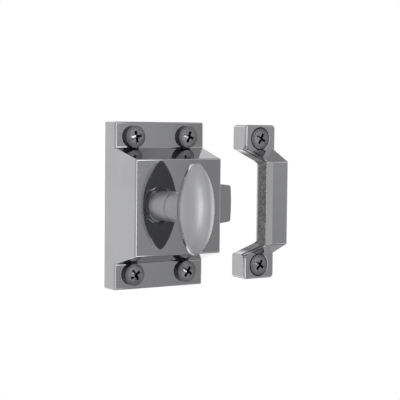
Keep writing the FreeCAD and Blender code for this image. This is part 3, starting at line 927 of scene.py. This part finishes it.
@dataclass
class Screws:
    """The six wood screws, each turned as it was driven home."""

    screw: WoodScrew = field(default_factory=WoodScrew)
    turns: dict[str, float] = field(
        default_factory=lambda: {
            "case_screw_upper_left": -11.0,
            "case_screw_upper_right": 17.5,
            "case_screw_lower_left": -33.0,
            "case_screw_lower_right": 32.0,
            "keeper_screw_upper": 27.0,
            "keeper_screw_lower": 32.0,
        }
    )

    def build(
        self,
        material: bpy.types.Material,
        shade: bpy.types.Material,
        glint: bpy.types.Material,
    ) -> None:
        """Makes and dresses the screws.

        Args:
            material: the steel that they get.
            shade: the steel with painted shade for the head's side and for the recess.
            glint: the steel with a painted glint for the bottom of the recess.
        """
        pattern = self.screw.build()
        faces = pattern.piece.data.polygons
        finish_numbers = [self.screw.finish_index(face.center, face.normal) for face in faces]
        for node, turn in self.turns.items():
            low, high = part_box(node)
            place = ((low.x + high.x) / 2, high.y - self.screw.length, (low.z + high.z) / 2)
            screw = pattern.copy(f"{node}_threaded", turn, place)
            screw.dress(Body.ROOT, Slot.SCREW, material, [node])
            for extra in (shade, glint):
                screw.piece.data.materials.append(extra)
            for face, number in zip(screw.piece.data.polygons, finish_numbers):
                face.material_index = number
        bpy.data.objects.remove(pattern.piece)


@dataclass
class BoltSpring:
    """The compression spring behind the bolt's ear, of round wire with closed ends."""

    wire_radius: float = 0.25 * MM
    turns: int = 9
    end_turns: float = 1.0
    wire_sides: int = 12
    steps_per_turn: int = 28
    smooth_angle: float = 50.0

    def make_coil(
        self, name: str, start: float, length: float, turns: float, radius: float
    ) -> Workpiece:
        """Winds one stretch of the coil about the X axis.

        Args:
            name: its name.
            start: the X where it starts.
            length: how far it goes along X.
            turns: how many turns it has.
            radius: the coil's mean radius.

        Returns:
            The stretch, with its axis through the origin.
        """
        deselect_all()
        bpy.ops.mesh.primitive_circle_add(
            vertices=self.wire_sides, radius=self.wire_radius, rotation=(QUARTER_TURN, 0, 0)
        )
        coil = Workpiece.added(name)
        coil.edit()
        bpy.ops.mesh.select_all(action="SELECT")
        bpy.ops.transform.translate(value=(start, 0, radius))
        coil.done()
        steps = round(self.steps_per_turn * turns)
        return coil.modify(
            "SCREW",
            axis="X",
            angle=math.radians(360 * turns),
            screw_offset=length,
            steps=steps,
            render_steps=steps,
            use_smooth_shade=True,
        )

    def build(self, material: bpy.types.Material) -> None:
        """Makes and dresses the spring.

        Args:
            material: the wire's finish.
        """
        low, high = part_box("bolt_spring")
        radius = (high.z - low.z) / 2 - self.wire_radius
        closed = 2 * self.wire_radius * self.end_turns
        start, end = low.x + self.wire_radius, high.x - self.wire_radius
        opened = end - start - 2 * closed
        spring = self.make_coil("spring_first", start, closed, self.end_turns, radius)
        middle = self.make_coil("spring_middle", start + closed, opened, self.turns, radius)
        last = self.make_coil("spring_last", end - closed, closed, self.end_turns, radius)
        spring.join([middle, last])
        spring.edit()
        bpy.context.tool_settings.mesh_select_mode = (True, False, False)
        bpy.ops.mesh.select_all(action="SELECT")
        bpy.ops.mesh.remove_doubles(threshold=SAME_POINT)
        bpy.ops.mesh.fill_holes(sides=0)
        bpy.ops.mesh.normals_make_consistent(inside=False)
        spring.done().smooth(self.smooth_angle)
        middle_point = (0, (low.y + high.y) / 2, (low.z + high.z) / 2)
        wound = spring.copy("bolt_spring_wound", 0.0, middle_point)
        bpy.data.objects.remove(spring.piece)
        wound.dress(Body.ROOT, Slot.SPRING, material, ["bolt_spring"])
        slide = next(joint for joint in frame["joints"] if joint["name"] == "bolt_slide")
        keep = 1 - slide["range_m"][1] / (high.x - low.x)
        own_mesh(wound.piece)


@dataclass
class InnerWorks:
    """The pieces in and behind the case that stay as the CAD shapes them."""

    plates: tuple[str, ...] = ("back_plate",)
    works: tuple[str, ...] = (
        "spindle",
        "cam",
        "cam_washer",
        "cam_screw",
        "bolt_guide_pin",
        "back_plate_screw_upper",
        "back_plate_screw_lower",
    )

    def dress(self, plate: bpy.types.Material, steel: bpy.types.Material) -> None:
        """Gives each node its finish.

        Args:
            plate: the rolled sheet of the back plate.
            steel: the turned and cut steel of the rest.
        """
        for names, material in ((self.plates, plate), (self.works, steel)):
            for name in names:
                mesh = frame["nodes"][name].data
                mesh.materials.clear()
                mesh.materials.append(material)
                LOG.info("%s: %s", name, material.name)


# The studio


@dataclass(frozen=True)
class SkyPatch:
    """A lit or dark part of the studio's walls, as seen from the catch.

    Angles are in degrees, and azimuth 0 is straight in front. Each row of four says where the patch
    starts, where it is full, where it begins to fade and where it has ended.
    """

    name: str
    azimuth: tuple[float, float, float, float]
    colour: Colour
    elevation: tuple[float, float, float, float] = (-201.0, -200.0, 200.0, 201.0)


@dataclass
class Studio:
    """Camera, floor and a world of walls, softboxes and dark gaps that the chrome mirrors."""

    camera_place: tuple[float, float, float] = (-0.2090, -0.3434, 0.0258)
    azimuth: float = 33.67
    pitch: float = 3.47
    roll: float = 0.59
    lens: float = 109.66
    sensor: float = 36.0
    floor_level: float = -0.30
    floor_middle: tuple[float, float] = (-0.055, 0.065)
    floor_size: float = 0.37
    floor_shade: float = 0.05
    floor_fade: tuple[float, float] = (0.05, 0.17)
    floor_tints: tuple[Colour, Colour] = ((0.90, 0.90, 0.90), (0.93, 0.93, 0.93))
    lamp_place: tuple[float, float, float] = (-0.05, -0.1, 0.6)
    lamp_size: float = 0.5
    lamp_energy: float = 0.2
    front_colour: Colour = (0.64, 0.64, 0.65)
    patches: tuple[SkyPatch, ...] = (
        SkyPatch("right_wall", (24, 27, 74, 76), (0.50, 0.50, 0.51)),
        SkyPatch("far_right_wall", (38, 42, 74, 76), (0.78, 0.78, 0.80)),
        SkyPatch("low_far_right", (38, 42, 74, 76), (0.30, 0.30, 0.30), (-401, -400, -52, -42)),
        SkyPatch("high_far_right", (38, 42, 74, 76), (0.52, 0.52, 0.53), (42, 52, 400, 401)),
        SkyPatch("lower_right_wall", (26, 30, 38, 41), (0.36, 0.36, 0.365), (-401, -400, -14, 2)),
        SkyPatch("dark_stand", (31, 34, 35, 36.2), (0.36, 0.36, 0.37)),
        SkyPatch("highlight_lamp", (17, 19, 25.5, 27), (4.8, 4.8, 4.85), (-24, -14, 14, 24)),
        SkyPatch("left_softbox", (-92, -84, -66, -58), (1.0, 1.0, 1.02), (-66, -60, 56, 62)),
        SkyPatch("dark_gap_left", (-126, -122, -100, -95), (0.08, 0.08, 0.085)),
        SkyPatch("left_behind", (-401, -400, -130, -126), (0.86, 0.86, 0.87)),
        SkyPatch("white_behind_left", (-401, -400, -158, -153), (1.3, 1.3, 1.3)),
        SkyPatch("dark_gap_right", (73, 75, 84, 87), (0.07, 0.07, 0.075)),
        SkyPatch("right_behind", (86, 89, 400, 401), (0.28, 0.28, 0.285)),
        SkyPatch("white_behind_right", (86, 89, 400, 401), (1.15, 1.15, 1.15), (-38, -30, 12, 46)),
        SkyPatch("white_strip_right", (88, 91, 118, 124), (1.6, 1.6, 1.6), (-26, -20, 18, 24)),
        SkyPatch(
            "dark_behind_right", (86, 89, 400, 401), (0.13, 0.13, 0.13), (-401, -400, -42, -30)
        ),
    )

    def build(self) -> None:
        """Makes the camera first, and then the world, the lamp and the floor."""
        self.make_camera()
        self.make_world()
        self.make_lamp()
        self.make_floor()
        bpy.context.scene.view_settings.view_transform = "Standard"

    def make_camera(self) -> None:
        """Puts the camera where the photograph was taken."""
        turn, tip, roll = (math.radians(a) for a in (self.azimuth, self.pitch, self.roll))
        ahead = Vector((math.sin(turn), math.cos(turn), 0))
        forward = math.cos(tip) * ahead - math.sin(tip) * Vector((0, 0, 1))
        level = Vector((math.cos(turn), -math.sin(turn), 0))
        upright = level.cross(forward)
        right = math.cos(roll) * level + math.sin(roll) * upright
        above = -math.sin(roll) * level + math.cos(roll) * upright
        lens = bpy.data.cameras.new("photo_camera")
        lens.lens = self.lens
        lens.sensor_width = self.sensor
        lens.clip_start = 0.01
        camera = bpy.data.objects.new("photo_camera", lens)
        bpy.context.scene.collection.objects.link(camera)
        facing = Matrix((right, above, -forward)).transposed().to_4x4()
        camera.matrix_world = Matrix.Translation(self.camera_place) @ facing
        bpy.context.scene.camera = camera

    def seen_straight(self, sheet: NodeSheet) -> Wire:
        """Returns 1 for rays from the camera and for those through glass, else 0."""
        return sheet.node("ShaderNodeLightPath", {}, {}, "Is Camera Ray").larger(
            sheet.node("ShaderNodeLightPath", {}, {}, "Is Transmission Ray")
        )

    @staticmethod
    def within(angle: Wire, row: tuple[float, float, float, float]) -> Wire:
        """Returns 1 where an angle lies inside a patch's row of four, and 0 outside."""
        start, full, fading, end = row
        return angle.step(start, full) * (1 - angle.step(fading, end))

    def make_world(self) -> None:
        """Builds the studio's walls as light from all round, plain white to the camera.

        Reflected rays see the walls, because chrome in plain white loses its form.
        """
        world = bpy.data.worlds.new("white_studio")
        world.use_nodes = True
        bpy.context.scene.world = world
        sheet = NodeSheet(world.node_tree)
        way = sheet.node("ShaderNodeTexCoord", {}, {}, "Generated")
        parts = [sheet.node("ShaderNodeSeparateXYZ", {}, {"Vector": way}, axis) for axis in "XYZ"]
        degree = 180 / math.pi
        azimuth = parts[0].angle_with(parts[1] * -1.0) * degree
        elevation = parts[2].arc_sine() * degree
        level = self.front_colour
        for patch in self.patches:
            share = self.within(azimuth, patch.azimuth) * self.within(elevation, patch.elevation)
            level = sheet.blend(share, level, patch.colour)
        level = sheet.blend(self.seen_straight(sheet), level, (1.0, 1.0, 1.0))
        light = sheet.node("ShaderNodeBackground", {}, {"Color": level, "Strength": 1.0})
        sheet.node("ShaderNodeOutputWorld", {}, {"Surface": light})

    def make_lamp(self) -> None:
        """Hangs one weak soft lamp above, for the floor's faint shadow."""
        glow = bpy.data.lights.new("top_softbox", "AREA")
        glow.energy = self.lamp_energy
        glow.size = self.lamp_size
        lamp = bpy.data.objects.new("top_softbox", glow)
        bpy.context.scene.collection.objects.link(lamp)
        lamp.location = self.lamp_place

    def make_floor(self) -> None:
        """Lays a pale floor below the catch, which fades into the white background."""
        deselect_all()
        place = (*self.floor_middle, self.floor_level)
        bpy.ops.mesh.primitive_plane_add(size=self.floor_size, location=place)
        floor = Workpiece.added("pale_floor").piece
        material, sheet = new_sheet("pale_floor")
        paper = sheet.noise(30.0, detail=3.0)
        colour = sheet.blend(paper, *self.floor_tints)
        matt = sheet.node("ShaderNodeBsdfDiffuse", {}, {"Color": colour})
        shine = sheet.node("ShaderNodeEmission", {}, {"Color": (1, 1, 1, 1), "Strength": 1.0})
        here = sheet.node("ShaderNodeTexCoord", {}, {}, "Object")
        away = sheet.node("ShaderNodeVectorMath", {"operation": "LENGTH"}, {0: here}, "Value")
        near, far = self.floor_fade
        shown = 1 - (1 - away.step(near, far)) * self.floor_shade
        mirrored = sheet.node("ShaderNodeLightPath", {}, {}, "Is Glossy Ray")
        seen = self.seen_straight(sheet).larger(mirrored)
        both = sheet.node("ShaderNodeMixShader", {}, {0: seen * shown, 1: matt, 2: shine})
        sheet.node("ShaderNodeOutputMaterial", {}, {"Surface": both})
        floor.data.materials.append(material)


def main() -> None:
    """Builds the studio and then the catch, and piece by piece."""
    logging.basicConfig(level=logging.INFO, format="%(name)s: %(message)s")
    finishes = Finishes()
    Studio().build()
    case_chrome, knob_chrome = finishes.case.make(), finishes.knob.make()
    CaseCasting("case", Body.ROOT).build(case_chrome)
    Casting("keeper", Body.ROOT).build(finishes.keeper.make())
    Casting("bolt", Body.BOLT).build(case_chrome)
    Casting("knob", Body.KNOB).build(knob_chrome)
    Screws().build(finishes.screw.make(), finishes.screw_shade.make(), finishes.screw_glint.make())
    BoltSpring().build(finishes.spring.make())
    InnerWorks().dress(finishes.plate.make(), finishes.works.make())


if __name__ == "__main__":
    main()
